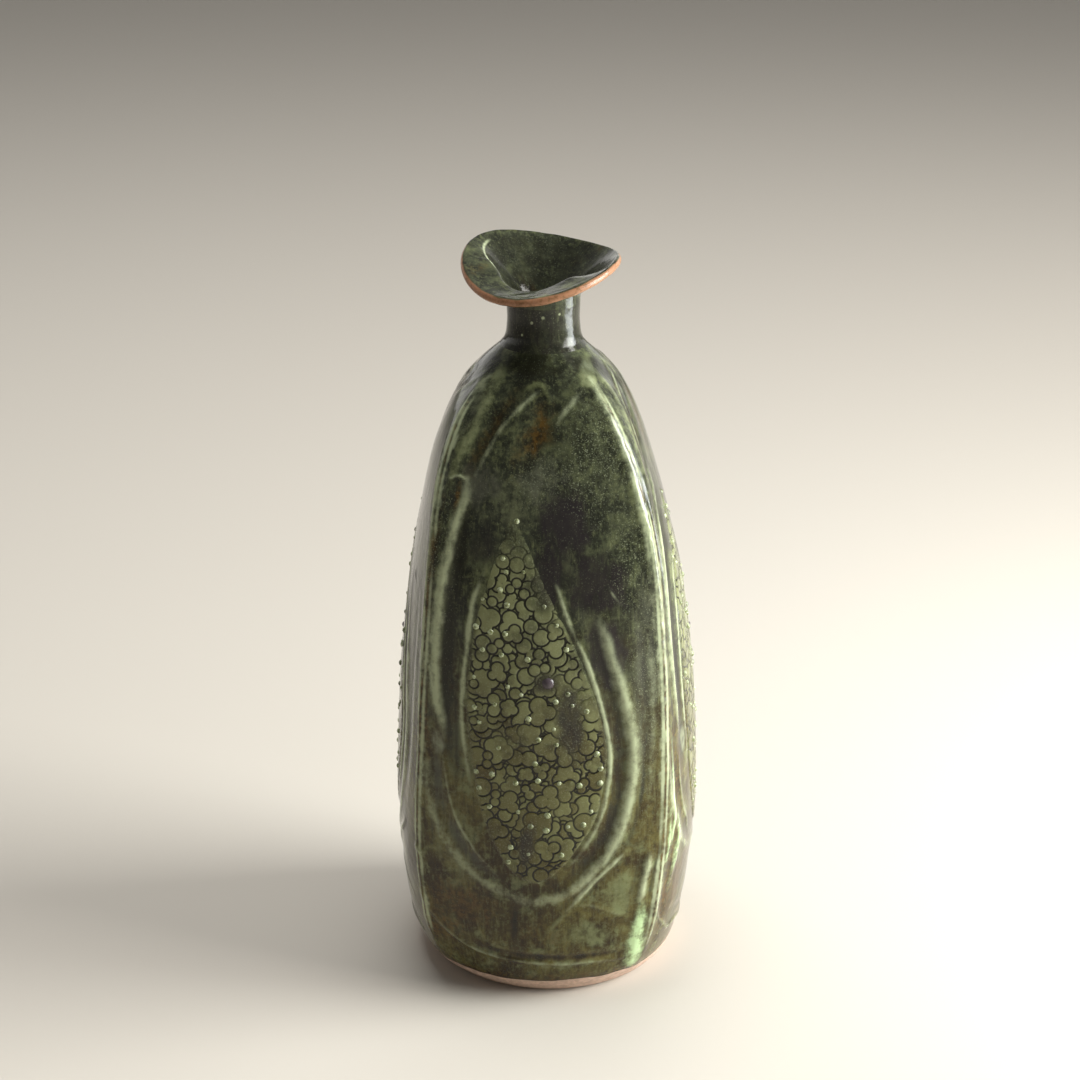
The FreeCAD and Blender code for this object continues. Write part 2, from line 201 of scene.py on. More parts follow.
# A mark is a stroke of the finger or the brush along one face. Its path is (across, height, strength) from
# the middle of the face; rise is how far it stands proud, and the other values tint the glaze along it.
frontMarks = [
    stroke(0.8, 0.25, pale=0.95, path=[   # inner ridge, right of the medallion
        (5, 133, 0), (6.6, 129.5, 0.7), (8.2, 124, 0.9), (11, 117, 0.5), (13.8, 111, 0.9), (17.2, 101, 1),
        (20.4, 88, 1), (21.3, 80, 1), (20.6, 71, 0.9), (18.6, 62, 0.7), (15.5, 55.5, 0.5), (10, 47.5, 0.3),
        (3, 42, 0)]),
    stroke(0.9, 0.2, pale=0.9, path=[   # inner ridge, left of the medallion
        (-11, 146, 0), (-14.2, 134, 0.3), (-17.4, 126, 0.8), (-19.2, 114, 0.95), (-20.6, 103, 0.85),
        (-21.2, 92, 0.8), (-20.2, 80, 0.6), (-18.8, 71, 0.3)]),
    stroke(2.6, -0.55, dark=0.6, smoke=0.4, path=[   # finger groove between the two ridges
        (11.5, 126, 0), (15.2, 118, 0.6), (18.6, 108, 1), (22, 97, 1), (24, 86, 1), (24.2, 75, 1),
        (22.6, 64, 1), (18.5, 53.5, 1), (12, 45.5, 0.9), (4, 40, 0.5)]),
    stroke(2.0, 0.6, pale=0.84, green=0.6, path=[   # outer sweep round the medallion
        (16.6, 123.5, 0.2), (18.5, 119, 0.55), (21.6, 109, 0.8), (25, 98, 1), (27.6, 86, 1), (27.9, 76, 1),
        (26.5, 66, 1), (24, 57, 0.95), (20.5, 50, 0.85), (15.4, 43.5, 0.8), (9.9, 38.6, 0.7),
        (3, 35.8, 0.6), (-4, 35.7, 0.6), (-11.3, 38.7, 0.55), (-17, 41.6, 0.55), (-22.7, 47.1, 0.6),
        (-28, 54.7, 0.6), (-31.6, 63, 0.6), (-32.8, 76, 0.4)]),
    stroke(2.4, -0.4, smoke=0.35, grey=0.6, path=[   # trough down the left and under the medallion
        (-29.5, 85, 0.4), (-29.8, 76, 1), (-28.8, 67, 1), (-25.6, 58, 1), (-21.5, 51, 1), (-16, 45.3, 0.9),
        (-10, 41, 0.6), (-3, 38.6, 0.3)]),
    stroke(0.6, 0.3, pale=0.6, path=[
        (-27.2, 77, 0.5), (-25.7, 67.7, 0.9), (-23.6, 60.2, 0.9), (-19.9, 53.7, 0.8), (-16.1, 48.4, 0.7),
        (-12.3, 44.9, 0.4)]),
    stroke(3.0, -0.5, dark=0.95, path=[   # dark finger band left of the medallion
        (-17, 156, 0), (-19.2, 148, 0.8), (-21.3, 138, 1), (-23.2, 128, 1), (-24.8, 117, 1),
        (-25.6, 105, 1), (-25.4, 93, 1), (-24.4, 81, 0.8), (-23, 72, 0.3)]),
    stroke(1.7, 0.65, pale=1.0, path=[   # long pale ridge at the left
        (-18.2, 159, 0.4), (-18.8, 154, 0.6), (-21.6, 148, 0.75), (-24.6, 138, 0.85), (-26.8, 128, 0.95),
        (-28.6, 115, 1), (-29.4, 104, 1), (-28.9, 96, 0.9), (-27.6, 90, 0.7), (-27.2, 84, 0.3)]),
    stroke(2.1, 0.4, green=0.8, pale=0.35, path=[   # sweeps on the shoulder
        (-9.1, 187.5, 0.4), (-11.3, 184, 0.9), (-15, 175, 0.8), (-18.6, 168, 0.85), (-21.1, 162.7, 0.9),
        (-22.8, 158, 0.7), (-23.6, 153, 0.2)]),
    stroke(2.6, -0.3, amber=0.5, dark=0.5, path=[
        (-4, 183, 0.6), (-9, 176, 1), (-14, 168, 1), (-18, 160.5, 0.6)]),
    stroke(0.8, 0.35, pale=0.6, path=[
        (1.5, 182.2, 0.4), (-2.3, 179.3, 0.9), (-8.4, 173.3, 0.8), (-12.4, 167, 0.8), (-16, 160.5, 0.5)]),
    stroke(4.2, -0.35, amber=0.66, path=[   # bare iron showing in a wide swipe
        (3, 180.5, 0.4), (2.8, 176, 0.9), (1, 171, 1), (-2, 166, 0.8), (-5, 161, 0.4)]),
    stroke(1.1, 0.3, green=0.9, path=[
        (-5, 180, 0.3), (-2, 182.6, 0.8), (1.3, 183, 0.9), (3.6, 180.3, 0.6), (4.2, 176, 0.3)]),
    stroke(1.2, 0.25, pale=0.5, grain=0.8, path=[
        (13, 181.6, 0.5), (9.5, 178.2, 1), (6.6, 174.6, 0.6), (5.6, 170, 0.2)]),
    stroke(1.6, 0.35, pale=0.66, green=0.4, path=[   # pale band inside the right corner
        (15, 184, 0.9), (18.6, 179.5, 0.8), (21.8, 174.5, 0.75), (25, 168, 0.85), (27.6, 161, 1),
        (29.8, 152, 1), (31.6, 144, 0.9), (33, 132, 0.6), (33.6, 118, 0.4)]),
    stroke(0.5, 0.2, pale=0.5, path=[(20.4, 129.8, 0.6), (22, 127.6, 1), (23.6, 125.4, 0.4)]),
    stroke(1.5, 0.1, pale=0.4, grain=0.6, path=[   # faint streaks beside the right corner
        (31.5, 124, 0.3), (33, 108, 0.9), (33.8, 90, 0.9), (33.4, 74, 0.8), (31.5, 60, 0.3)]),
    stroke(1.3, -0.1, smoke=0.5, grey=0.4, path=[
        (29, 122, 0.4), (31, 106, 1), (31.6, 88, 1), (31, 72, 0.8), (29, 58, 0.3)]),
    stroke(0.9, 0.45, pale=0.85, path=[   # slanting strokes under the medallion
        (26, 50.5, 0.3), (22.6, 47.4, 0.9), (18, 43, 1), (13.4, 37.6, 0.9), (10.4, 33.8, 0.6),
        (7.5, 31, 0.2)]),
    stroke(1.3, -0.2, amber=0.7, path=[(22, 49, 0.2), (17, 43, 0.9), (12, 38, 1), (7, 34, 0.4)]),
    stroke(0.9, 0.2, pale=0.4, green=0.5, path=[
        (11.2, 33.6, 0.5), (16, 33.4, 0.9), (22, 30.5, 0.8), (27.4, 27.4, 0.3)]),
    stroke(0.9, 0.2, green=0.7, path=[(10, 32, 0.5), (6, 28, 0.9), (2, 22, 0.6), (1, 18, 0.2)]),
    stroke(0.7, 0.5, pale=0.55, path=[   # edge left where the foot was trimmed
        (-36, 30, 0.3), (-33.6, 26.1, 0.6), (-28.1, 20.7, 0.8), (-21.9, 16.7, 0.9), (-15.7, 14.7, 0.9),
        (-8.1, 13.6, 0.9), (0, 13, 0.9), (9, 12.6, 0.9), (17, 12.8, 0.8), (26, 12.2, 0.5)]),
    stroke(1.3, -0.4, amber=0.8, dark=0.75, path=[
        (-24, 20.5, 0.4), (-14, 16.8, 0.8), (-4, 15.4, 1), (8, 14.8, 1), (18, 15, 0.9), (25, 14.6, 0.4)]),
    stroke(1.9, -0.15, amber=0.8, dark=0.8, path=[(-6, 34.5, 0.7), (-6, 26, 1), (-6.4, 17, 0.7)]),
    stroke(1.6, -0.1, amber=0.8, dark=0.3, path=[   # streaky brown band inside the left corner
        (-25, 154, 0.4), (-28.4, 142, 0.9), (-31, 126, 1), (-32.6, 108, 1), (-33, 90, 0.9),
        (-32, 76, 0.5)]),
    stroke(0.8, 0.2, pale=0.4, path=[
        (-27.4, 150, 0.3), (-31, 136, 0.8), (-33.6, 116, 0.9), (-35, 96, 0.7), (-35, 80, 0.3)]),
    stroke(1.5, 0.9, pale=1.0, path=[   # pale lump of glaze on the right corner
        (33.4, 49, 0.4), (33, 45.5, 1), (32, 41, 0.8), (31.4, 36.5, 0.9), (31, 33, 0.4)]),
    stroke(2.8, 0.55, mint=1.0, path=[   # thick run of glaze down the right corner
        (32, 31, 0.3), (31.5, 26, 0.8), (30.6, 20, 1), (29.8, 13.5, 1), (29, 8.5, 0.7)]),
    stroke(1.0, 0.7, pale=0.9, path=[(-37.2, 46.8, 0.8), (-35.4, 45.8, 0.7), (-33.5, 46.2, 0.1)]),
    stroke(1.0, 0.15, amber=0.9, path=[(-20.4, 158.4, 0.7), (-21, 154, 1), (-22, 150, 0.5)]),
    stroke(0.5, 0.3, pale=0.8, path=[(-22.8, 159.2, 0.8), (-20.4, 160, 1), (-18.4, 159, 0.7)]),
]

rightMarks = [
    stroke(6.0, 0.05, amber=0.6, path=[(-26, 112, 0.2), (-27, 90, 0.8), (-27.5, 60, 1), (-27, 20, 0.8)]),
    stroke(0.9, 0.4, mint=0.8, path=[(-31.5, 82, 0.3), (-30.8, 70, 0.9), (-30.4, 58, 1), (-31.4, 50, 0.7)]),
    stroke(1.9, 0.5, mint=0.75, path=[(-27.6, 58, 0.4), (-27, 50, 1), (-27.8, 42, 1), (-29.4, 35, 0.4)]),
    stroke(1.1, 0.4, mint=0.9, path=[(-33.6, 62, 0.4), (-33.2, 52, 0.9), (-34, 44, 0.6)]),
    stroke(1.4, 0.3, pale=0.8, path=[
        (-29, 150, 0.4), (-30.4, 132, 0.9), (-31.6, 112, 0.7), (-32.4, 92, 0.3)]),
    stroke(0.8, 0.3, pale=0.7, path=[
        (-24, 158, 0.3), (-26.4, 138, 0.8), (-28, 116, 0.6), (-28.6, 96, 0.3)]),
    stroke(2.2, -0.2, amber=0.8, path=[(-31, 44, 0.4), (-31.6, 34, 1), (-30.6, 22, 0.9), (-29, 12, 0.4)]),
    stroke(1.7, 0.2, amber=1.0, dark=0.4, path=[
        (-36.4, 41, 0.5), (-35.4, 34, 1), (-34.4, 27, 0.9), (-33.6, 21, 0.3)]),
    stroke(1.6, 0.1, amber=0.7, path=[(-24, 60, 0.3), (-24.6, 48, 0.9), (-25, 36, 0.9), (-24, 24, 0.4)]),
]

# A bloom is a soft patch of colour: middle (across, height), size (across, height), turn and tints.
frontBlooms = [
    # painted reflection: these first six smoke blooms lay a dark reflection over the upper right of the
    # medallion and round and under the boss; the other faces get moved copies of it
    patch((9, 147), (9, 12), smoke=1.0),
    patch((17, 131), (11, 11), smoke=1.0),
    patch((20, 112), (7, 14), 8, smoke=0.85, amber=0.3),
    patch((4, 134), (5.5, 15), smoke=0.85),
    patch((9.5, 92), (4.5, 14), 4, smoke=1.0),
    patch((3.6, 104), (5.5, 4.5), smoke=0.9),
    patch((-2.5, 54), (3.2, 9), -12, smoke=0.85),
    patch((-6, 84), (4, 6), smoke=0.35, amber=0.4),
    patch((-15, 158), (8, 7), grey=0.7, smoke=0.4),
    patch((2, 160), (9, 8), 20, grey=0.6, grain=0.5),
    patch((-14, 142), (5, 9), -20, dark=0.5, smoke=0.5),
    patch((9, 174), (9, 15), dark=0.4),
    patch((-6, 152), (6, 9), green=0.35, grey=0.4),
    patch((-2, 187), (9, 4), dark=0.9),
    patch((-14, 76), (7, 9), amber=0.45),
    patch((-22, 32), (13, 9), amber=0.8, dark=0.3),
    patch((-30, 22), (9, 9), amber=0.7),
    patch((0, 24), (14, 7), amber=0.4),
    patch((0, 5), (44, 5), amber=0.6, dark=0.3),
    patch((15, 23), (9, 5), green=0.7),
    patch((24, 36), (7, 9), green=0.75),
    patch((12, 62), (9, 13), green=0.5),
    patch((-11, 122), (6, 16), 8, green=0.7),
    patch((-25, 46), (6, 10), 40, green=0.5),
    patch((-18, 176), (7, 9), -30, grey=0.5),
    patch((15, 185), (4, 4.5), green=1.0, pale=0.4),
    patch((17, 164), (11, 17), grain=1.0),
    patch((27, 140), (6, 18), grain=0.9),
    patch((31, 100), (5, 36), grain=0.7, grey=0.75),
    patch((-29, 83), (2.6, 5), grey=1.0, pale=0.45),
    patch((20, 93), (3.5, 14), 10, dark=0.5, smoke=0.5),
]

tintNames = ["pale", "green", "amber", "smoke", "dark", "grey", "mint", "grain", "copper", "clay"]


def wanderingMarks(side):
    # the other faces repeat the front's strokes, each point moved a little
    chance = random.Random(70 + side)
    marks = []
    for mark in frontMarks[:26]:
        shiftAcross, shiftUp = chance.uniform(-1.2, 1.2), chance.uniform(-2, 2)
        if mark in frontMarks[:3]:
            shiftAcross = shiftUp = 0
        path = [(a + shiftAcross + chance.uniform(-0.5, 0.5), z + shiftUp + chance.uniform(-1, 1), strength)
                for a, z, strength in mark["path"]]
        marks.append({**mark, "path": path})
    return marks + (rightMarks if side == 1 else [])


def wanderingBlooms(side):
    chance = random.Random(90 + side)
    blooms = []
    for bloom in frontBlooms:
        at = (bloom["at"][0] + chance.uniform(-7, 7), bloom["at"][1] + chance.uniform(-8, 8))
        blooms.append({**bloom, "at": at, "turn": bloom["turn"] + chance.uniform(-20, 20)})
    return blooms


marksOf = {side: frontMarks if side == 0 else wanderingMarks(side) for side in range(4)}
bloomsOf = {side: frontBlooms if side == 0 else wanderingBlooms(side) for side in range(4)}


def smoothPath(points, pieces=7):
    # Catmull-Rom curve through a short list of points
    points = np.array(points, float)
    ends = np.vstack([2 * points[0] - points[1], points, 2 * points[-1] - points[-2]])
    t = np.linspace(0, 1, pieces, endpoint=False)[:, None]
    curve = []
    for a, b, c, d in zip(ends, ends[1:], ends[2:], ends[3:]):
        curve.append(0.5 * (2 * b + (c - a) * t + (2 * a - 5 * b + 4 * c - d) * t ** 2
                            + (3 * b - a - 3 * c + d) * t ** 3))
    return np.vstack(curve + [points[-1:]])


def nearPath(across, height, path, reach):
    # distance from each point to a path, and the path's strength there
    far = np.full(across.shape, 1e3)
    strength = np.zeros(across.shape)
    line = smoothPath(path)
    low, high = line[:, :2].min(0) - reach, line[:, :2].max(0) + reach
    close = pointsInBox(across, height, low, high)
    if len(close[0]) == 0:
        return far, strength
    x, z = across[close], height[close]
    best, power = np.full(x.shape, 1e3), np.zeros(x.shape)
    for start, end in zip(line, line[1:]):
        gap, t = segmentGap(x, z, start, end)
        nearer = gap < best
        best = np.where(nearer, gap, best)
        power = np.where(nearer, start[2] + t * (end[2] - start[2]), power)
    far[close], strength[close] = best, power
    return far, strength


strokeShape = {
    "halo": (2.3, 0.62),       # greener glaze beside a pale stroke: width as a share, strength
    # the dark line beside a pale ridge is partly glaze breaking brown and partly painted shadow
    "rim": (1.9, 0.55, 0.6),   # dark line beside it: distance and width as shares, strength
    "ragged": 0.34,
}


def surfaceMarks(side, across, height, faceLength, place):
    # relief in millimetres and the tints of every mark and bloom, with those of the two neighbours' edges
    relief = np.zeros(across.shape)
    tints = blankTints(across.shape)
    ragged = layeredNoise(place, 3.0, 11)
    # the marks were made before the body was twisted, so their paths are on the straight face
    across = across + bodyRow(1, height) * np.radians(bodyRow(4, height))
    for step in (-1, 0, 1):
        home = (side + step) % 4
        there = across - step * 2 * faceLength
        if step and np.all(np.abs(there) > 48):
            continue
        for mark in marksOf[home]:
            width = mark["width"]
            gap, strength = nearPath(there, height, mark["path"], width * 3)
            relief += mark["rise"] * bell(gap, width) * strength
            soft = bell(np.maximum(gap / width + strokeShape["ragged"] * ragged, 0), 1) * strength
            for name in tintNames:
                if name in mark:
                    raiseTint(tints, name, mark[name] * soft)
            if "pale" in mark:
                haloWidth, green = strokeShape["halo"]
                raiseTint(tints, "green", green * bell(gap, width * haloWidth) * strength * mark["pale"])
                # painted shadow, in part: a dark line along both sides of each pale ridge
                rimGap, rimWidth, dark = strokeShape["rim"]
                rim = bell(gap - rimGap * width, rimWidth * width)
                raiseTint(tints, "dark", dark * rim * strength * mark["pale"])
        for bloom in bloomsOf[home]:
            turn = radians(bloom["turn"])
            dx, dz = there - bloom["at"][0], height - bloom["at"][1]
            u = (dx * cos(turn) + dz * sin(turn)) / bloom["size"][0]
            v = (dz * cos(turn) - dx * sin(turn)) / bloom["size"][1]
            soft = smoothstep(1.25, 0.35, np.hypot(u, v) + 0.3 * ragged)
            for name in tintNames:
                if name in bloom:
                    raiseTint(tints, name, bloom[name] * soft)
    return relief, tints


cornerSeam = {"rise": 0.3, "width": 1.1, "pale": 0.75, "iron": 0.9}


def cornerMarks(gap, height, place, tints):
    # rough seam where two slabs meet: a broken line of bare iron between pale edges, beside a nearly
    # unbroken pale line that is partly a painted highlight
    fade = smoothstep(8, 24, height) * smoothstep(186, 176, height)
    lumps = layeredNoise(place, 2.2, 31)
    coarse = layeredNoise(place, 14.0, 37)
    mixed = lumps + coarse * 0.6
    core = bell(gap, cornerSeam["width"]) * fade
    # painted highlight, in part: a pale line just inside every corner, where the glaze also breaks pale
    line = bell(gap - 1.0, 0.75) * fade * smoothstep(-0.9, 0.1, coarse)
    raiseTint(tints, "pale", 0.9 * line)
    edge = bell(gap - 1.6, 1.0) * fade * smoothstep(-0.5, 0.4, coarse)
    raiseTint(tints, "pale", cornerSeam["pale"] * edge * smoothstep(-0.4, 0.3, lumps))
    raiseTint(tints, "amber", cornerSeam["iron"] * core * smoothstep(0.3, -0.4, mixed))
    raiseTint(tints, "pale", 0.6 * core * smoothstep(-0.1, 0.5, mixed))
    return core * (cornerSeam["rise"] * (0.6 + 0.7 * lumps))


def bodySurface(side, share, height):
    # the finished outside of the body, with the tints at each point
    point, direction, across, faceLength = bodySkin(side, share, height)
    relief, tints = surfaceMarks(side, across, height, faceLength, point)
    relief += cornerMarks(faceLength - np.abs(across), height, point, tints)
    fade = smoothstep(bodyShape["top"], bodyShape["top"] - 9, height) * smoothstep(0.6, 9, height)
    relief += bodyShape["wobble"] * layeredNoise(point, bodyShape["wobbleSize"], 5, 2)
    relief += 0.035 * layeredNoise(point, 2.6, 17, 2)
    return point + direction * (relief * fade)[..., None], tints


def addObject(name, data):
    thing = bpy.data.objects.new(name, data)
    bpy.context.scene.collection.objects.link(thing)
    return thing


def makeMesh(name, points, faces, tints=None):
    mesh = bpy.data.meshes.new(name)
    mesh.from_pydata((np.asarray(points) * mm).tolist(), [], faces)
    mesh.update()
    for key, values in (tints or {}).items():
        layer = mesh.attributes.new(key, "FLOAT", "POINT")
        layer.data.foreach_set("value", np.asarray(values, np.float32))
    mesh.shade_smooth()
    return addObject(name, mesh)


def gridFaces(rows, columns, first=0, wrap=False, flip=False):
    r, c = np.meshgrid(np.arange(rows - 1), np.arange(columns if wrap else columns - 1), indexing="ij")
    nextColumn = (c + 1) % columns
    low, high = r * columns, (r + 1) * columns
    quads = np.stack([low + c, low + nextColumn, high + nextColumn, high + c], -1).reshape(-1, 4) + first
    return (quads[:, ::-1] if flip else quads).tolist()


def stitch(outer, inner, ratio):
    # triangles between a fine border and a coarse one, which has a point for every few of the fine one's
    faces = []
    for i in range(len(inner) - 1):
        fine = outer[i * ratio:(i + 1) * ratio + 1]
        middle = ratio // 2
        faces += [[inner[i], a, b] for a, b in zip(fine[:middle], fine[1:middle + 1])]
        faces += [[inner[i + 1], a, b] for a, b in zip(fine[middle:-1], fine[middle + 1:])]
        faces.append([inner[i], fine[middle], inner[i + 1]])
    return faces


def sharpenBorder(piece, edgeKeys):
    # keeps the outer skin's shading free of the hidden joint faces
    wanted = set(edgeKeys)
    layer = piece.data.attributes.new("sharp_edge", "BOOLEAN", "EDGE")
    flags = [tuple(sorted(edge.vertices)) in wanted for edge in piece.data.edges]
    layer.data.foreach_set("value", flags)


def evenHeights(count, low, high):
    # heights spaced evenly along the profile
    fine = np.linspace(low, high, 600)
    run = np.concatenate([[0], np.cumsum(np.hypot(np.diff(fine), np.diff(bodyRow(1, fine))))])
    return np.interp(np.linspace(0, run[-1], count), run, fine)


def closedSheet(name, outside, inside, tints, skip):
    # a fine outer skin and a coarse inner one, joined round their borders into one closed mesh
    rows, columns = outside.shape[:2]
    insideRows, insideColumns = inside.shape[:2]
    first = rows * columns
    faces = gridFaces(rows, columns) + gridFaces(insideRows, insideColumns, first, flip=True)
    outIndex = np.arange(rows * columns).reshape(rows, columns)
    inIndex = np.arange(insideRows * insideColumns).reshape(insideRows, insideColumns) + first
    borders = [(outIndex[0], inIndex[0]), (outIndex[:, -1], inIndex[:, -1]),
               (outIndex[-1, ::-1], inIndex[-1, ::-1]), (outIndex[::-1, 0], inIndex[::-1, 0])]
    sharp = []
    for fine, coarse in borders:
        fine, coarse = fine.tolist(), coarse.tolist()
        faces += stitch(fine, coarse, skip)
        sharp += edgePairs(fine) + edgePairs(coarse)
    points = np.vstack([outside.reshape(-1, 3), inside.reshape(-1, 3)])
    padding = insideRows * insideColumns
    flat = {key: np.concatenate([value.ravel(), np.zeros(padding)]) for key, value in tints.items()}
    piece = makeMesh(name, points, faces, flat)
    sharpenBorder(piece, sharp)
    return piece


wallMeshShape = {"across": 216, "up": 432, "backStep": 12}


def wallPiece(side):
    share = np.linspace(-1, 1, wallMeshShape["across"] + 1)
    heights = evenHeights(wallMeshShape["up"] + 1, bodyShape["floor"], bodyShape["top"])
    shareGrid, heightGrid = np.meshgrid(share, heights)
    outside, tints = bodySurface(side, shareGrid, heightGrid)
    skip = wallMeshShape["backStep"]
    inner = (slice(None, None, skip),) * 2
    inside = bodySkin(side, shareGrid[inner], heightGrid[inner], bodyShape["wallThickness"])[0]
    return closedSheet("wall_" + sideNames[side] + "_glazed", outside, inside, tints, skip)


def closeDisc(ring, middle, flip=False):
    faces = [[middle, a, b] for a, b in zip(ring, ring[1:] + ring[:1])]
    return [face[::-1] for face in faces] if flip else faces


footShape = {
    "bareHeight": 5.6,         # clay is left bare up to here, higher on one side
    "bareTilt": 0.5,
    "bareWander": 0.9,
}


def basePiece():
    # the floor slab: its side is the body's own skin, its underside is flat
    rows, perSide = 26, 108
    share = np.linspace(-1, 1, perSide + 1)[:-1]
    heights = np.linspace(bodyShape["footChamfer"], bodyShape["floor"], rows)
    shareGrid, heightGrid = np.meshgrid(share, heights)
    parts = [bodySurface(side, shareGrid, heightGrid) for side in range(4)]
    skin = np.concatenate([part[0] for part in parts], 1)
    tints = {key: np.concatenate([part[1][key] for part in parts], 1) for key in tintNames}
    bareTo = footShape["bareHeight"] + footShape["bareTilt"] * skin[..., 0] / bodyShape["half"]
    bareTo = bareTo + footShape["bareWander"] * layeredNoise(skin, 9.0, 61)
    tints["clay"] = smoothstep(0.7, -0.5, skin[..., 2] - bareTo)
    foot = bodySkin(0, np.array([0.0]), np.array([0.0]))[0][0]
    radius = abs(foot[1]) - bodyShape["footChamfer"]
    outwards = skin[0] / np.linalg.norm(skin[0][:, :2], axis=1)[:, None] * [1, 1, 0]
    rings = ((radius * 0.55, 0.0), (radius - 1.6, 0.0), (radius, 0.02), (radius + 0.55, 0.25))
    lower = np.array([outwards * reach + [0, 0, height] for reach, height in rings])
    grid = np.concatenate([lower, skin], 0)
    total, columns = grid.shape[:2]
    count = total * columns
    points = np.vstack([grid.reshape(-1, 3), [0, 0, 0], [skin[-1][:, 0].mean(), 0, bodyShape["floor"]]])
    topRing = list(range(count - columns, count))
    faces = gridFaces(total, columns, wrap=True)
    faces += closeDisc(list(range(columns)), count, flip=True) + closeDisc(topRing, count + 1)
    bare = {key: float(key == "clay") for key in tintNames}
    flat = {key: np.concatenate([np.full(len(lower) * columns, bare[key]), value.ravel(), [bare[key], 0]])
            for key, value in tints.items()}
    piece = makeMesh("base_slab_glazed", points, faces, flat)
    sharpenBorder(piece, edgePairs(topRing, closed=True))
    return piece


neckShape = {
    "bottom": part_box("neck_collar")[0].z / mm,
    "top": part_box("neck_collar")[1].z / mm,
    "centre": (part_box("neck_collar")[0].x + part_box("neck_collar")[1].x) / 2 / mm,
    "bore": 7.2,
    # height above the shoulder as a share of the neck, and radius
    "rows": [(0.0, 12.3), (0.13, 11.2), (0.3, 10.6), (0.65, 10.25), (1.0, 10.4)],
    "wave": 0.12,
    # pale specks: direction in degrees, height above the shoulder, radius
    "flecks": [(-104, 8.2, 0.7), (-86, 9.8, 0.8), (-60, 10.6, 0.6), (-120, 4.5, 0.5), (20, 7, 0.7),
               (95, 6, 0.8), (170, 8, 0.6)],
    "fleckReach": 10.5,
}


def ringPiece(name, profiles, tints):
    # a closed band: one closed profile for each direction round the axis
    columns, rows = len(profiles), len(profiles[0])
    points = np.array(profiles).transpose(1, 0, 2)
    faces = []
    index = np.arange(rows * columns).reshape(rows, columns)
    for r in range(rows):
        a, b = index[r], index[(r + 1) % rows]
        faces += np.stack([a, np.roll(a, -1), np.roll(b, -1), b], -1).tolist()
    flat = {key: np.asarray(value).T.ravel() for key, value in tints.items()}
    piece = makeMesh(name, points.reshape(-1, 3), faces, flat)
    return piece, index


def ringEdges(index, rows):
    edges = []
    for r in rows:
        edges += edgePairs(index[r].tolist(), closed=True)
    return edges


def neckPiece():
    shape = neckShape
    rows = np.array(shape["rows"])
    span = shape["top"] - shape["bottom"]
    heights = np.linspace(shape["bottom"], shape["top"], 64)
    radii = monotone(rows[:, 0] * span + shape["bottom"], rows[:, 1], heights)
    boreHeights = heights[::-8]
    angles = np.linspace(0, 2 * pi, 256, endpoint=False)
    middle, up = np.array([shape["centre"], 0, 0]), np.array([0, 0, 1])
    profiles = []
    for angle in angles:
        look = np.array([cos(angle), sin(angle), 0])
        skin = middle + look * radii[:, None] + up * heights[:, None]
        wave = shape["wave"] * layeredNoise(skin, 9.0, 41) * smoothstep(0, 4, heights - shape["bottom"])
        skin = skin + look * (wave * smoothstep(0, 2, shape["top"] - heights))[:, None]
        bore = middle + look * shape["bore"] + up * boreHeights[:, None]
        profiles.append(np.vstack([skin, bore]))
    profiles = np.array(profiles)
    count = profiles.shape[1]
    tints = blankTints(profiles.shape[:2])
    tints["smoke"] += 0.5
    tints["dark"] += 0.5
    tints["grain"] += smoothstep(0.2, 0.9, layeredNoise(profiles, 5.0, 43)) * 0.8
    tints["green"] += smoothstep(0.1, 0.7, layeredNoise(profiles * [1, 1, 0.3], 3.2, 45)) * 0.6
    reach = shape["fleckReach"]
    for turn, rise, size in shape["flecks"]:
        turn = radians(turn)
        spot = [shape["centre"] + reach * cos(turn), reach * sin(turn), shape["bottom"] + rise]
        raiseTint(tints, "pale", smoothstep(size, size * 0.4, np.linalg.norm(profiles - spot, axis=-1)))
    piece, index = ringPiece("neck_collar_glazed", profiles, tints)
    sharpenBorder(piece, ringEdges(index, [0, len(heights) - 1, len(heights), count - 1]))
    return piece


lipShape = {
    "centre": -2.8,
    "halfWidth": 21.2,
    "halfDepth": 22.6,
    "height": 213.8, "backRise": 3.65, "sideRise": 1.4, "twist": -1.7,
    "thickness": 2.4,
    "curl": 0.62, "curlBack": 0.32, "curlRight": 0.15,
    "root": 10.4,
    "flangeMiddle": 225, "flangeSpread": 75,       # degrees round the mouth, and half the flange's width
    "flangeStart": 0.4, "flangeLevel": 0.88,       # where the flange folds into the throat, as shares
    "across": 288,
}


def rimHeight(angle):
    return (lipShape["height"] + lipShape["backRise"] * sin(angle) + lipShape["sideRise"] * cos(2 * angle)
            + lipShape["twist"] * sin(2 * angle))


def flangeAmount(angle):
    # 1 where the front and left of the lip roll out into a nearly level flange
    turn = (np.degrees(angle) - lipShape["flangeMiddle"] + 180) % 360 - 180
    return float(smoothstep(lipShape["flangeSpread"] + 45, lipShape["flangeSpread"], abs(turn)))


def foldShare(angle):
    # the fold between flange and throat runs out to the rim at the back left and the right tip
    turn = np.degrees(angle) % 360
    share = lipShape["flangeStart"] + 0.5 * smoothstep(205, 135, turn)
    return np.minimum(share + 0.12 * smoothstep(290, 345, turn), 0.96)


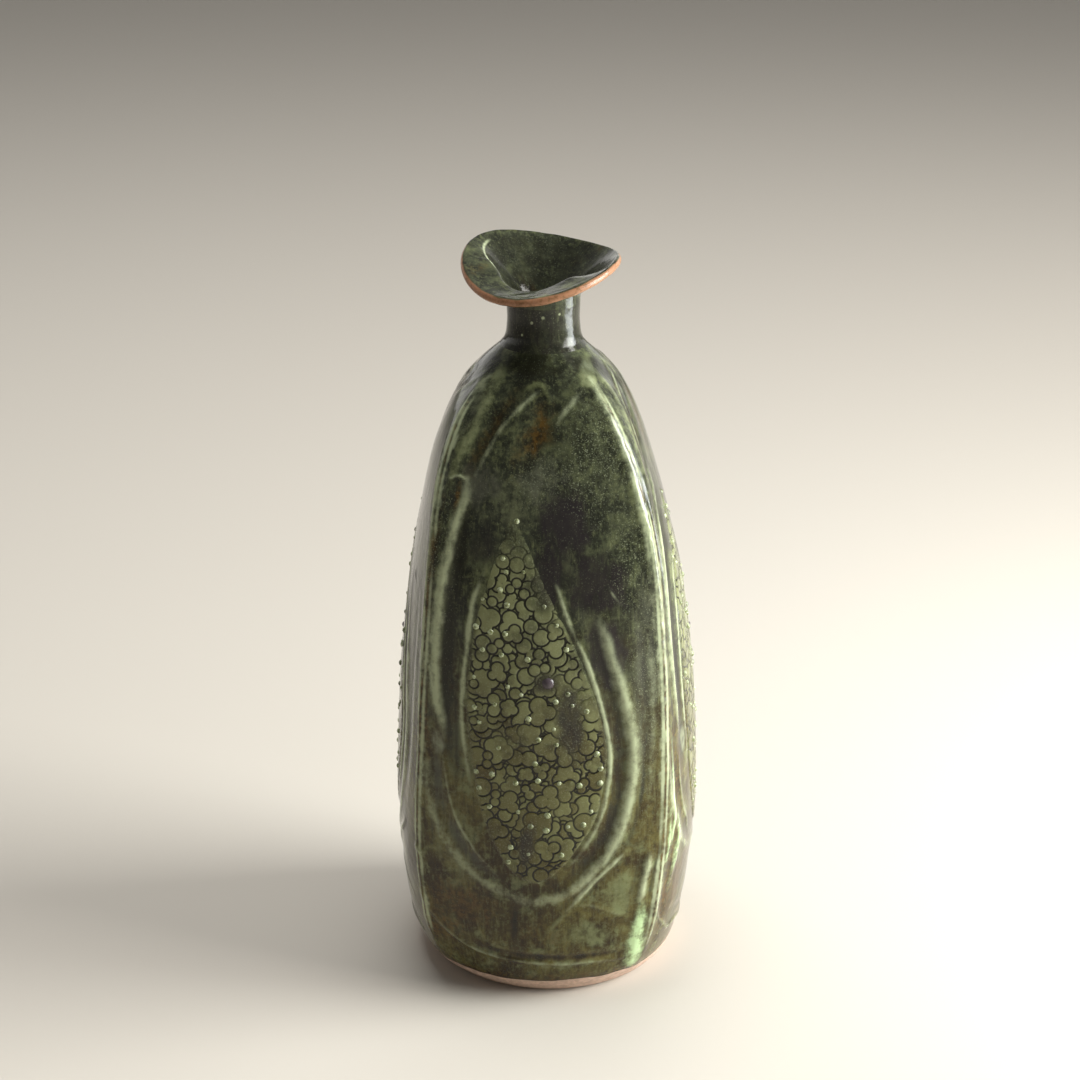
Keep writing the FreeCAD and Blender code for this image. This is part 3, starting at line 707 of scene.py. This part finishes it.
def dishHeight(share, angle):
    curl = lipShape["curl"] + lipShape["curlBack"] * sin(angle) + lipShape["curlRight"] * cos(angle)
    plain = share ** max(curl, 0.55)
    inner = foldShare(angle)
    level = lipShape["flangeLevel"] + (1 - lipShape["flangeLevel"]) * max(-sin(angle), 0) ** 0.5
    steep = level * min(share / inner, 1) ** 0.8
    flat = level + (1 - level) * max(share - inner, 0) / (1 - inner)
    mixed = flat if share > inner + 0.08 else steep if share < inner - 0.08 else None
    if mixed is None:                              # rounds the fold between the two
        t = (share - inner + 0.08) / 0.16
        low = level * ((inner - 0.08) / inner) ** 0.8
        high = level + (1 - level) * 0.08 / (1 - inner)
        mixed = (1 - t) ** 2 * low + 2 * t * (1 - t) * (level * 0.995) + t * t * high
    amount = flangeAmount(angle)
    return neckShape["top"] + (rimHeight(angle) - neckShape["top"]) * (plain * (1 - amount) + mixed * amount)


def lipProfile(angle):
    # throat, dish, rounded rim, underside and root, once round the section
    shape = lipShape
    wide, deep = shape["halfWidth"], shape["halfDepth"]
    rim = wide * deep / hypot(deep * cos(angle), wide * sin(angle))
    bore, root, thick = neckShape["bore"], shape["root"], shape["thickness"]

    def at(radius, drop):
        share = (radius - bore) / (rim - bore)
        centre = neckShape["centre"] + (shape["centre"] - neckShape["centre"]) * share
        return np.array([centre + radius * cos(angle), radius * sin(angle), dishHeight(share, angle) - drop])

    shares = np.linspace(0, 1, 72) ** 1.4
    upper = [at(bore + (rim - bore) * s, 0) for s in shares]
    under = [at(root + (rim - root) * s, thick) for s in shares[:4:-1]]
    look = np.array([cos(angle), sin(angle), 0])
    middle, reach = (upper[-1] + under[0]) / 2, thick / 2
    nose = [middle + look * reach * sin(t) * 0.95 + (upper[-1] - middle) * cos(t)
            for t in np.linspace(0, pi, 14)[1:-1]]
    foot = np.array([neckShape["centre"] + root * cos(angle), root * sin(angle), neckShape["top"]])
    last = under[-1]
    fillet = [foot + (last - foot) * np.array([t ** 2.2, t ** 2.2, t]) for t in np.linspace(1, 0, 9)[1:]]
    return upper + nose + under + fillet, len(upper), len(nose)


def lipPiece():
    angles = np.linspace(0, 2 * pi, lipShape["across"], endpoint=False)
    made = [lipProfile(angle) for angle in angles]
    profiles = np.array([m[0] for m in made])
    upperCount, noseCount = made[0][1], made[0][2]
    count = profiles.shape[1]
    ragged = layeredNoise(profiles, 4.0, 53)
    row = np.arange(count)[None, :]
    rimMiddle = upperCount + noseCount * 0.45
    rimGap = np.abs(row - rimMiddle) / (noseCount * 0.5)
    tints = blankTints(profiles.shape[:2])
    tints["copper"] = smoothstep(1.0, 0.45, rimGap + 0.25 * ragged)
    tints["amber"] += smoothstep(-0.1, 0.8, layeredNoise(profiles, 7.0, 57)) * 0.6
    tints["green"] += smoothstep(0.0, 0.8, layeredNoise(profiles, 6.0, 59)) * 0.8
    tints["dark"] += 0.35
    # pale line along the fold where the left of the flange turns down: a painted highlight on the crest,
    # over a little greener glaze
    share = (np.linspace(0, 1, upperCount) ** 1.4)[None, :]
    pastFold = share - foldShare(angles)[:, None]
    left = smoothstep(36, 14, np.abs(np.degrees(angles) - 168))[:, None]
    upper = {name: value[:, :upperCount] for name, value in tints.items()}
    upper["pale"][:] = 0.85 * bell(pastFold, 0.03) * left
    upper["green"][:] = np.maximum(upper["green"], left * smoothstep(-0.05, 0.1, pastFold) * 0.2)
    # painted shade: the throat inside the fold is darker all the way round
    upper["dark"] += 0.3 * smoothstep(0.1, -0.1, pastFold)
    wobble = 0.12 * ragged * smoothstep(0, 12, np.minimum(row, count - row))
    profiles[..., 2] += wobble
    piece, index = ringPiece("lip_glazed", profiles, tints)
    sharpenBorder(piece, ringEdges(index, [0, count - 1]))
    return piece


padShape = {
    "outline": [(0, 40), (6.6, 44.5), (12.8, 53), (18, 64), (19.8, 82), (17, 95.5), (12.8, 107.5),
                (6.8, 122), (1, 139), (-7, 154), (-13.5, 146), (-18.6, 130), (-22, 109), (-23, 95),
                (-20.8, 77), (-17.5, 61.5), (-10.8, 47.5), (-6.2, 42.5)],
    "rise": 0.22,              # plain surface of the pad above the wall
    "sunk": 0.45,              # depth of its hidden border below the wall
    "blend": 2.0,              # width of the slope between them
    "puff": 0.09,              # how far each scallop swells
    "lineWidth": 0.42,
    "lineDepth": 0.1,
    "spacing": 3.9,
    "lobe": (1.35, 2.6),
}


def outlineLoop():
    points = padShape["outline"]
    closed = [(a, z, 1.0) for a, z in points[-2:] + points + points[:3]]
    return smoothPath(closed, 10)[20:20 + 10 * len(points)][:, :2]


outline = outlineLoop()


def scallops(side):
    # clusters of two to four overlapping round lobes, laid one over another like scales
    chance = random.Random(300 + side)
    made = []
    height = 40.0
    while height < 154:
        across = -24.0
        while across < 24:
            spot = (across + chance.uniform(-1.3, 1.3), height + chance.uniform(-1.3, 1.3))
            turn = chance.uniform(0, 2 * pi)
            size = chance.uniform(*padShape["lobe"])
            count = chance.choice([1, 2, 2, 3, 3, 4])
            lobes = []
            for i in range(count):
                a = turn + 2 * pi * i / count + chance.uniform(-0.3, 0.3)
                reach = 0.0 if count == 1 else size * chance.uniform(0.7, 1.0)
                radius = size * chance.uniform(0.85, 1.15) * (1.25 if count == 1 else 1)
                lobes.append((spot[0] + reach * cos(a), spot[1] + reach * sin(a), radius))
            tone = chance.uniform(-1, 1)
            made.append({"lobes": lobes, "tone": tone, "spot": spot, "rank": chance.random()})
            across += padShape["spacing"]
        height += padShape["spacing"] * 0.9
    around = ((1.6, 0), (-1.6, 0), (0, 1.8), (0, -1.8))
    made = [m for m in made if all(insideLoop(outline, *np.array(step) + m["spot"]) for step in around)]
    return sorted(made, key=lambda m: m["rank"])


def scallopField(side, across, height):
    # line darkness, distance inside the scallop on top, and its tone
    line, depth, tone = (np.zeros(across.shape) for _ in range(3))
    width = padShape["lineWidth"]
    for scale in scallops(side):
        lobes = np.array(scale["lobes"])
        low, high = (lobes[:, :2] - lobes[:, 2:]).min(0) - 1, (lobes[:, :2] + lobes[:, 2:]).max(0) + 1
        near = pointsInBox(across, height, low, high)
        if len(near[0]) == 0:
            continue
        lobeGaps = [np.hypot(across[near] - x, height[near] - z) - r for x, z, r in scale["lobes"]]
        gap = np.min(lobeGaps, axis=0)
        covered = gap < 0
        line[near] = np.where(covered, 0, line[near])
        depth[near] = np.where(covered, -gap, depth[near])
        tone[near] = np.where(covered, scale["tone"], tone[near])
        line[near] = np.maximum(line[near], smoothstep(width, width * 0.25, np.abs(gap)))
    return line, depth, tone


def edgeGap(across, height):
    # distance from each point to the outline of the pad
    best = np.full(across.shape, 1e3)
    for start, end in zip(outline[::2], np.roll(outline[::2], -1, 0)):
        best = np.minimum(best, segmentGap(across, height, start, end)[0])
    return best


def padSurface(side, across, height):
    # how far the stamped surface stands above the wall, with the tints there
    half, radius, swing = facePlan(height)
    point, direction, _, faceLength = bodySkin(side, across / (radius * swing), height)
    relief, tints = surfaceMarks(side, across, height, faceLength, point)
    line, depth, tone = scallopField(side, across, height)
    worn = smoothstep(-0.9, 0.2, layeredNoise(point, 11.0, 71 + side))
    # the scallop lines and their swelling fade under the smoke tint, which over the medallion is partly a
    # painted reflection
    soften = 1 - 0.7 * np.minimum(tints["smoke"], 1)
    edge = edgeGap(across, height)
    cover = smoothstep(0.8, 2.6, edge) * (1 - 0.85 * smoothstep(126, 145, height + 0.5 * across))
    tints["cover"] = cover
    line = line * (0.45 + 0.55 * worn) * soften * (0.15 + 0.85 * cover)
    puff = padShape["puff"] * (1 - np.exp(-depth / 0.45)) * soften
    slope = padShape["blend"] + 4 * smoothstep(112, 138, height)
    rise = smoothstep(0, slope, edge) * (padShape["rise"] + padShape["sunk"]) - padShape["sunk"]
    wobble = bodyShape["wobble"] * layeredNoise(point, bodyShape["wobbleSize"], 5, 2)
    lift = rise + puff - padShape["lineDepth"] * line + wobble + relief
    tints["line"], tints["tone"] = line, 0.5 + 0.5 * tone
    return point + direction * lift[..., None], point - direction * 1.4, direction, tints


padMeshShape = {"across": 180, "up": 480, "backStep": 12}


def padPiece(side):
    # rows run up the face, and each row goes from the left edge of the outline to the right
    rows, columns, skip = padMeshShape["up"] + 1, padMeshShape["across"] + 1, padMeshShape["backStep"]
    loop = np.roll(outline, -outline[:, 1].argmin(), 0)
    top = loop[:, 1].argmax()
    rightEdge, leftEdge = loop[:top + 1], np.vstack([loop[:1], loop[:top - 1:-1]])
    heights = np.linspace(loop[0, 1] + 0.05, loop[top, 1] - 0.05, rows)
    left = np.interp(heights, leftEdge[:, 1], leftEdge[:, 0])[:, None]
    right = np.interp(heights, rightEdge[:, 1], rightEdge[:, 0])[:, None]
    across = left + (right - left) * np.linspace(0, 1, columns)[None, :]
    height = np.repeat(heights[:, None], columns, 1)
    skin, back, _, tints = padSurface(side, across, height)
    return closedSheet("medallion_" + sideNames[side] + "_stamped", skin, back[::skip, ::skip], tints, skip)


pearlShape = {
    "count": 54,
    "spacing": 3.6,
    "edgeGap": 1.6,
    "radius": 0.92,
    "spread": 0.22,            # how much the pearls differ in size
    "sunk": 0.48,              # share of the radius below the pad
    "boss": (1.5, 103.5),
    "bossRadius": 2.0,
    "seed": 5,
    "bossSize": (2.5, 1.3, 1.5, 1.0),              # front, right, back, left
}


def pearlSpots(side):
    chance = random.Random(20 + side)
    corners = np.array(padShape["outline"], float)
    gap = pearlShape["edgeGap"]
    around = ((0, 0), (gap, 0), (-gap, 0), (0, gap), (0, -gap))
    spots = []
    while len(spots) < pearlShape["count"]:
        spot = (chance.uniform(-23, 21), chance.uniform(40, 152))
        if not all(insideLoop(corners, spot[0] + a, spot[1] + z) for a, z in around):
            continue
        if dist(spot, pearlShape["boss"]) < pearlShape["bossRadius"] + pearlShape["spacing"]:
            continue
        if all(dist(spot, other) > pearlShape["spacing"] for other in spots):
            spots.append(spot)
    return spots + [pearlShape["boss"]]


def pearlTree():
    # a small ball on every point of the mesh, each a little different in size
    tree = bpy.data.node_groups.new("pearlsOnPoints", "GeometryNodeTree")
    tree.interface.new_socket("Geometry", in_out="INPUT", socket_type="NodeSocketGeometry")
    for name, kind, value in (("Pearl radius", "Float", pearlShape["radius"] * mm),
                              ("Size spread", "Float", pearlShape["spread"]),
                              ("Seed", "Int", pearlShape["seed"]), ("Glaze", "Material", None)):
        socket = tree.interface.new_socket(name, in_out="INPUT", socket_type="NodeSocket" + kind)
        if value is not None:
            socket.default_value = value
    tree.interface.new_socket("Geometry", in_out="OUTPUT", socket_type="NodeSocketGeometry")
    w = Wiring(tree)
    start = w.nodes.new("NodeGroupInput").outputs
    ball = w.add("GeometryNodeMeshIcoSphere", Radius=start["Pearl radius"], Subdivisions=2)
    smooth = w.add("GeometryNodeSetShadeSmooth", Geometry=ball.outputs["Mesh"])
    chance = w.add("FunctionNodeRandomValue", Seed=start["Seed"])
    chance.data_type = "FLOAT"
    w.feed(chance.inputs[2], w.math("SUBTRACT", 1.0, start["Size spread"]))
    w.feed(chance.inputs[3], w.plus(1.0, start["Size spread"]))
    size = w.add("GeometryNodeInputNamedAttribute", Name="size")
    size.data_type = "FLOAT"
    scale = w.times(chance.outputs[1], size.outputs["Attribute"])
    placed = w.add("GeometryNodeInstanceOnPoints", Points=start["Geometry"], Scale=scale,
                   Instance=smooth.outputs["Geometry"])
    real = w.add("GeometryNodeRealizeInstances", Geometry=placed.outputs["Instances"])
    painted = w.add("GeometryNodeSetMaterial", Geometry=real.outputs["Geometry"], Material=start["Glaze"])
    w.add("NodeGroupOutput", Geometry=painted.outputs["Geometry"])
    return tree


def pearlPiece(side, tree, material):
    spots = pearlSpots(side)
    across, height = np.array([s[0] for s in spots]), np.array([s[1] for s in spots])
    skin, _, direction, tints = padSurface(side, across, height)
    boss = np.arange(len(spots)) == len(spots) - 1
    radius = np.where(boss, pearlShape["bossSize"][side], pearlShape["radius"])
    centres = skin - direction * (radius * pearlShape["sunk"])[:, None]
    # each pearl carries the smoke tint of the pad under it, partly a painted reflection; the boss takes it
    # in full
    seeds = makeMesh("pearl_places_" + sideNames[side], centres, [],
                     {"size": radius / pearlShape["radius"], "boss": boss * 1.0,
                      "smoke": np.where(boss, 1.0, tints["smoke"])})
    modifier = seeds.modifiers.new("Pearls", "NODES")
    modifier.node_group = tree
    names = {item.name: item.identifier for item in tree.interface.items_tree
             if item.item_type == "SOCKET" and item.in_out == "INPUT"}
    settings = {"Pearl radius": pearlShape["radius"] * mm, "Size spread": pearlShape["spread"],
                "Seed": pearlShape["seed"] + side, "Glaze": material}
    for name, value in settings.items():
        modifier[names[name]] = value
    bpy.context.view_layer.update()
    mesh = bpy.data.meshes.new_from_object(seeds.evaluated_get(bpy.context.evaluated_depsgraph_get()))
    mesh.name = "pearls_" + sideNames[side] + "_applied"
    bpy.data.objects.remove(seeds)
    return addObject(mesh.name, mesh)


# Colours of the glaze and the clay, as 0 to 255 screen values.
glazePalette = {
    "deepOlive": (46, 34, 9),
    "olive": (92, 85, 42),
    "deepSlate": (36, 38, 30),
    "slate": (64, 68, 52),
    "green": (112, 118, 80),
    "padOlive": (86, 80, 44),
    "padGreen": (120, 122, 80),
    "padPale": (140, 146, 106),
    "pale": (166, 174, 140),
    "mint": (186, 212, 160),
    "amber": (84, 60, 22),
    "ironBrown": (46, 29, 6),
    "smoke": (38, 33, 35),
    "boss": (74, 66, 70),
    "dark": (28, 28, 20),
    "grey": (88, 90, 76),
    "copper": (152, 110, 82),
    "clay": (206, 178, 160),
    "line": (16, 15, 9),
}


def screenColour(values):
    shares = [value / 255 for value in values]
    return (*(c / 12.92 if c <= 0.04045 else ((c + 0.055) / 1.055) ** 2.4 for c in shares), 1.0)


def colour(name):
    return screenColour(glazePalette[name])


class Wiring:
    # short helpers for building node trees
    def __init__(self, tree):
        self.tree, self.nodes, self.links = tree, tree.nodes, tree.links

    def feed(self, socket, value):
        if isinstance(value, bpy.types.NodeSocket):
            self.links.new(value, socket)
        elif value is not None:
            socket.default_value = value

    def math(self, operation, a, b=None, clamp=False):
        node = self.nodes.new("ShaderNodeMath")
        node.operation, node.use_clamp = operation, clamp
        self.feed(node.inputs[0], a)
        self.feed(node.inputs[1], b)
        return node.outputs[0]

    def times(self, a, b, clamp=False):
        return self.math("MULTIPLY", a, b, clamp)

    def plus(self, a, b):
        return self.math("ADD", a, b)

    def mix(self, factor, a, b):
        node = self.nodes.new("ShaderNodeMix")
        node.data_type = "RGBA"
        self.feed(node.inputs["Factor"], factor)
        self.feed(node.inputs[6], a)
        self.feed(node.inputs[7], b)
        return node.outputs[2]

    def step(self, value, low, high, toLow=0.0, toHigh=1.0):
        node = self.nodes.new("ShaderNodeMapRange")
        node.interpolation_type = "SMOOTHSTEP"
        self.feed(node.inputs[0], value)
        for socket, number in zip(node.inputs[1:5], (low, high, toLow, toHigh)):
            socket.default_value = number
        return node.outputs[0]

    def add(self, kind, **inputs):
        node = self.nodes.new(kind)
        for name, value in inputs.items():
            self.feed(node.inputs[name], value)
        return node

    def attribute(self, name):
        node = self.add("ShaderNodeAttribute")
        node.attribute_name = name
        return node.outputs["Fac"]

    def height(self, place):
        return self.add("ShaderNodeSeparateXYZ", Vector=place).outputs["Z"]

    def stretch(self, vector, scale):
        return self.add("ShaderNodeMapping", Vector=vector, Scale=scale).outputs["Vector"]

    def noise(self, vector, size, detail=3.0, roughness=0.55, distortion=0.0):
        node = self.add("ShaderNodeTexNoise", Vector=vector, Scale=1 / (size * mm), Detail=detail,
                        Roughness=roughness, Distortion=distortion)
        return node.outputs["Fac"]

    def existing(self, kind):
        return next(node for node in self.nodes if node.type == kind)


def glazeGroup():
    # the ash glaze: mottled olive that runs down the pot, tinted by what is stored on each piece
    tree = bpy.data.node_groups.new("ashGlaze", "ShaderNodeTree")
    tree.interface.new_socket("Place", in_out="INPUT", socket_type="NodeSocketVector")
    for name in tintNames:
        tree.interface.new_socket(name, in_out="INPUT", socket_type="NodeSocketFloat")
    for name, kind in (("Colour", "Color"), ("Roughness", "Float"), ("Height", "Float")):
        tree.interface.new_socket(name, in_out="OUTPUT", socket_type="NodeSocket" + kind)
    w = Wiring(tree)

    def washed(base, layers):
        # each layer: where it lies, from and to which value it comes in, its strength and its colour
        for source, low, high, strength, name in layers:
            base = w.mix(w.times(w.step(source, low, high), strength), base, colour(name))
        return base

    given = tree.nodes.new("NodeGroupInput").outputs
    result = tree.nodes.new("NodeGroupOutput").inputs
    place = given["Place"]
    broad = w.noise(place, 17, 4, 0.6, 0.4)
    runs = w.noise(w.stretch(place, (1, 1, 0.16)), 3.2, 4, 0.6, 0.3)
    mottle = w.noise(place, 1.5, 4, 0.65)
    hair = w.noise(w.stretch(place, (1, 1, 0.1)), 0.8, 3, 0.6)
    fleck = w.noise(place, 0.42, 2, 0.6)
    cloud = w.noise(place, 5.5, 4, 0.6)
    ragged = w.plus(w.times(cloud, 0.9), w.times(mottle, 0.7))       # about 0.8 in the middle
    broken = w.plus(w.times(ragged, 0.6), w.times(runs, 0.7))        # about 0.85 in the middle

    def tinted(base, name, target, strength=1.0, uneven=0.5):
        # a tint comes in unevenly, along the lumps and runs of the glaze
        amount = w.times(given[name], w.step(broken, 0.62, 1.02, 1 - uneven, 1 + uneven * 0.6))
        return w.mix(w.times(w.step(amount, 0.12, 0.95), strength, clamp=True), base, target)

    # smoky slate above the shoulder line, warm olive below it, with an uneven edge between them
    level = w.plus(w.height(place), w.times(w.math("SUBTRACT", broad, 0.5), 0.12))
    upper = w.step(level, 0.072, 0.125)
    warm = w.mix(w.step(broad, 0.36, 0.62), colour("deepOlive"), colour("olive"))
    warm = washed(warm, ((runs, 0.48, 0.66, 0.7, "ironBrown"), (cloud, 0.5, 0.3, 0.6, "ironBrown"),
                         (cloud, 0.5, 0.68, 0.6, "green")))
    cool = w.mix(w.step(cloud, 0.36, 0.66), colour("deepSlate"), colour("slate"))
    base = washed(w.mix(upper, warm, cool), (
        (cloud, 0.5, 0.72, 0.35, "green"), (mottle, 0.5, 0.7, 0.35, "green"),
        (mottle, 0.5, 0.32, 0.45, "dark"), (hair, 0.52, 0.7, 0.3, "green"), (hair, 0.48, 0.3, 0.35, "dark")))
    brown = w.mix(w.step(mottle, 0.4, 0.6), colour("ironBrown"), colour("amber"))
    base = tinted(base, "grey", colour("grey"), 0.7)
    base = tinted(base, "amber", brown, 0.95)
    for name, strength in (("green", 0.8), ("dark", 0.9), ("smoke", 0.9)):
        base = tinted(base, name, colour(name), strength)
    grains = w.times(w.times(given["grain"], w.step(fleck, 0.56, 0.68)), 0.38)
    base = w.mix(grains, base, colour("pale"))
    base = w.mix(w.times(w.step(fleck, 0.6, 0.72), 0.14), base, colour("pale"))
    base = tinted(base, "pale", colour("pale"), 0.86, 0.4)
    base = tinted(base, "mint", colour("mint"), 0.95)
    rust = w.mix(w.step(mottle, 0.46, 0.7, 0.0, 0.6), colour("copper"), colour("amber"))
    base = tinted(base, "copper", rust, 1.0, 0.1)
    bare = w.step(given["clay"], 0.45, 0.6)
    clay = w.mix(w.step(mottle, 0.35, 0.65, 0.0, 0.3), colour("clay"), colour("amber"))
    # a dark brown band runs along the edge of the bare clay
    edge = w.times(w.step(given["clay"], 0.02, 0.3), 0.85)
    base = w.mix(edge, base, colour("ironBrown"))
    base = w.mix(bare, base, clay)
    rough = w.step(mottle, 0.4, 0.7, 0.07, 0.15)
    rough = w.plus(rough, w.times(given["amber"], 0.05))
    rough = w.plus(rough, w.times(given["copper"], 0.2))
    rough = w.plus(w.times(rough, w.math("SUBTRACT", 1.0, bare)), w.times(bare, 0.85))
    height = w.plus(w.times(mottle, 0.5), w.times(w.noise(place, 3.4, 2), 0.9))
    height = w.plus(height, w.times(w.times(fleck, bare), 0.7))
    for name, value in (("Colour", base), ("Roughness", rough), ("Height", height)):
        w.feed(result[name], value)
    return tree


glazeSurface = {"specular": 0.32, "bump": 0.00013, "bumpStrength": 0.8}


def glazeMaterial(name, group, attributes, extra=None):
    material = bpy.data.materials.new(name)
    material.use_nodes = True
    w = Wiring(material.node_tree)
    shader = w.existing("BSDF_PRINCIPLED")
    skin = w.nodes.new("ShaderNodeGroup")
    skin.node_tree = group
    place = w.nodes.new("ShaderNodeTexCoord").outputs["Object"]
    w.links.new(place, skin.inputs["Place"])
    for tint in attributes:
        w.feed(skin.inputs[tint], w.attribute(tint))
    base, rough, height = skin.outputs["Colour"], skin.outputs["Roughness"], skin.outputs["Height"]
    if extra:
        base, rough, height = extra(w, place, base, rough, height)
    w.links.new(base, shader.inputs["Base Color"])
    w.links.new(rough, shader.inputs["Roughness"])
    bumpNode = w.add("ShaderNodeBump", Height=height, Distance=glazeSurface["bump"],
                     Strength=glazeSurface["bumpStrength"])
    w.links.new(bumpNode.outputs["Normal"], shader.inputs["Normal"])
    shader.inputs["Specular IOR Level"].default_value = glazeSurface["specular"]
    return material


def stampedLook(w, place, base, rough, height):
    # greener glaze lies on the scallops, and dark lines fill the cuts between them
    smoke = w.times(w.attribute("smoke"), 0.85, clamp=True)
    tone = w.mix(w.attribute("tone"), colour("padOlive"), colour("padGreen"))
    tone = w.mix(w.step(w.height(place), 0.07, 0.125, 0.0, 0.6), tone, colour("padPale"))
    # the green tone is left off under the smoke tint, which over the medallion is partly a painted
    # reflection
    cover = w.times(w.math("SUBTRACT", 1.0, smoke), w.step(w.noise(place, 6, 3), 0.35, 0.6, 0.4, 0.9))
    cover = w.times(cover, w.attribute("cover"))
    base = w.mix(cover, base, tone)
    fine = w.step(w.noise(place, 0.5, 2), 0.56, 0.66, 0.0, 0.18)
    base = w.mix(fine, base, colour("pale"))
    base = w.mix(w.times(w.step(w.attribute("line"), 0.08, 0.85), 0.95), base, colour("line"))
    return base, rough, height


def pearlLook(w, place, base, rough, height):
    # glaze thins over the pearls, so they show pale; the boss stays dark and wet
    pearl = w.mix(w.step(w.noise(place, 0.9, 2), 0.4, 0.6), colour("pale"), colour("green"))
    # pearls under the smoke tint are darkened with it, so the painted reflection runs over them too
    base = w.mix(w.times(w.attribute("smoke"), 0.5), pearl, colour("smoke"))
    base = w.mix(w.attribute("boss"), base, colour("boss"))
    return base, rough, height


def buildBottle():
    group = glazeGroup()
    glazeTints = [name for name in tintNames if name not in ("copper", "clay")]
    greenGlaze = glazeMaterial("greenAshGlaze", group, glazeTints)
    footGlaze = glazeMaterial("glazeOverBareStoneware", group, glazeTints + ["clay"])
    lipGlaze = glazeMaterial("copperRimGlaze", group, tintNames)
    medallionGlaze = glazeMaterial("stampedMedallionGlaze", group, glazeTints, stampedLook)
    pearlGlaze = glazeMaterial("pearlGlaze", group, [], pearlLook)
    linerGlaze = glazeMaterial("linerGlaze", group, [])

    def settle(piece, material, slotName, *nodes):
        if material.name not in [m.name for m in piece.data.materials if m]:
            piece.data.materials.clear()
            piece.data.materials.append(material)
        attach(piece, "root")
        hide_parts(*nodes)

    tree = pearlTree()
    for side, name in enumerate(sideNames):
        settle(wallPiece(side), greenGlaze, "green_glaze", "wall_" + name)
        settle(padPiece(side), medallionGlaze, "medallion_glaze", "medallion_" + name)
        settle(pearlPiece(side, tree, pearlGlaze), pearlGlaze, "pearl_glaze", "pearls_" + name)
        print("side made:", name)
    settle(basePiece(), footGlaze, "bare_stoneware", "base_slab")
    settle(neckPiece(), greenGlaze, "green_glaze", "neck_collar")
    settle(lipPiece(), lipGlaze, "lip_glaze", "lip")
    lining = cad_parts["glaze_lining"]
    lining.data.materials.clear()
    lining.data.materials.append(linerGlaze)
    print("base, neck, lip and lining made")


buildBottle()

studio = {
    "floorSize": 40.0,
    "floorColour": (195, 189, 179),
    "window": {"azimuth": 87, "distance": 1.25, "height": 0.62, "size": (0.8, 1.0), "power": 29},
    "strip": {"place": (0.5, 0.03, 0.24), "size": (0.27, 0.46), "power": 4.4},
    "top": {"place": (-0.1, 0.25, 1.7), "size": (1.0, 1.0), "power": 19},
    "worldLow": 0.25,
    "worldHigh": 1.15,
    "worldOverhead": 0.25,
}

lens = {
    "focal": 72.0,
    "place": (-3.04, -588.9, 357.1),
    "turn": 4.5,
    "tilt": 21.07,
}


def makeFloor():
    size = studio["floorSize"] / 2
    mesh = bpy.data.meshes.new("studioFloor")
    corners = [(x * size, y * size, 0) for x, y in ((-1, -1), (1, -1), (1, 1), (-1, 1))]
    mesh.from_pydata(corners, [], [(0, 1, 2, 3)])
    floor = addObject("studioFloor", mesh)
    material = bpy.data.materials.new("paleFloor")
    material.use_nodes = True
    shader = next(node for node in material.node_tree.nodes if node.type == "BSDF_PRINCIPLED")
    shader.inputs["Base Color"].default_value = screenColour(studio["floorColour"])
    shader.inputs["Roughness"].default_value = 0.7
    shader.inputs["Specular IOR Level"].default_value = 0.2
    mesh.materials.append(material)


def areaLight(name, place, target, size, power, tone=(1, 1, 1), mirrored=True):
    data = bpy.data.lights.new(name, "AREA")
    data.shape = "RECTANGLE"
    data.size, data.size_y = size
    data.energy = power
    data.color = tone
    light = addObject(name, data)
    light.location = place
    light.rotation_euler = (Vector(target) - Vector(place)).to_track_quat("-Z", "Y").to_euler()
    light.visible_glossy = mirrored                # False keeps it out of the reflections


def makeStudio():
    makeFloor()
    window = studio["window"]
    turn = radians(window["azimuth"])
    place = (window["distance"] * sin(turn), -window["distance"] * cos(turn), window["height"])
    areaLight("window", place, (0, 0, 0.12), window["size"], window["power"], (1, 0.985, 0.95))
    strip = studio["strip"]
    areaLight("slimStrip", strip["place"], (0, 0, 0.2), strip["size"], strip["power"], (0.94, 1, 1))
    top = studio["top"]
    areaLight("softTop", top["place"], (0, 0, 0.1), top["size"], top["power"], mirrored=False)
    world = bpy.data.worlds.new("softRoom")
    world.use_nodes = True
    bpy.context.scene.world = world
    w = Wiring(world.node_tree)
    background = w.existing("BACKGROUND")
    split = w.nodes.new("ShaderNodeSeparateXYZ")
    w.links.new(w.nodes.new("ShaderNodeTexCoord").outputs["Generated"], split.inputs[0])
    shade = w.step(split.outputs["Y"], -0.8, 0.7, studio["worldLow"], studio["worldHigh"])
    overhead = w.step(split.outputs["Z"], 0.12, 0.5, 1.0, studio["worldOverhead"])
    w.links.new(w.times(shade, overhead), background.inputs["Strength"])
    background.inputs["Color"].default_value = (1.0, 0.98, 0.94, 1)


def makeCamera():
    data = bpy.data.cameras.new("view")
    data.lens, data.sensor_width = lens["focal"], 36
    camera = addObject("view", data)
    turn = Matrix.Rotation(radians(lens["turn"]), 4, "Z")
    camera.location = turn @ (Vector(lens["place"]) * mm)
    camera.rotation_euler = (radians(90 - lens["tilt"]), 0, radians(lens["turn"]))
    bpy.context.scene.camera = camera


makeStudio()
makeCamera()
bpy.context.scene.view_settings.view_transform = "Standard"
print("floor, lights and camera made")
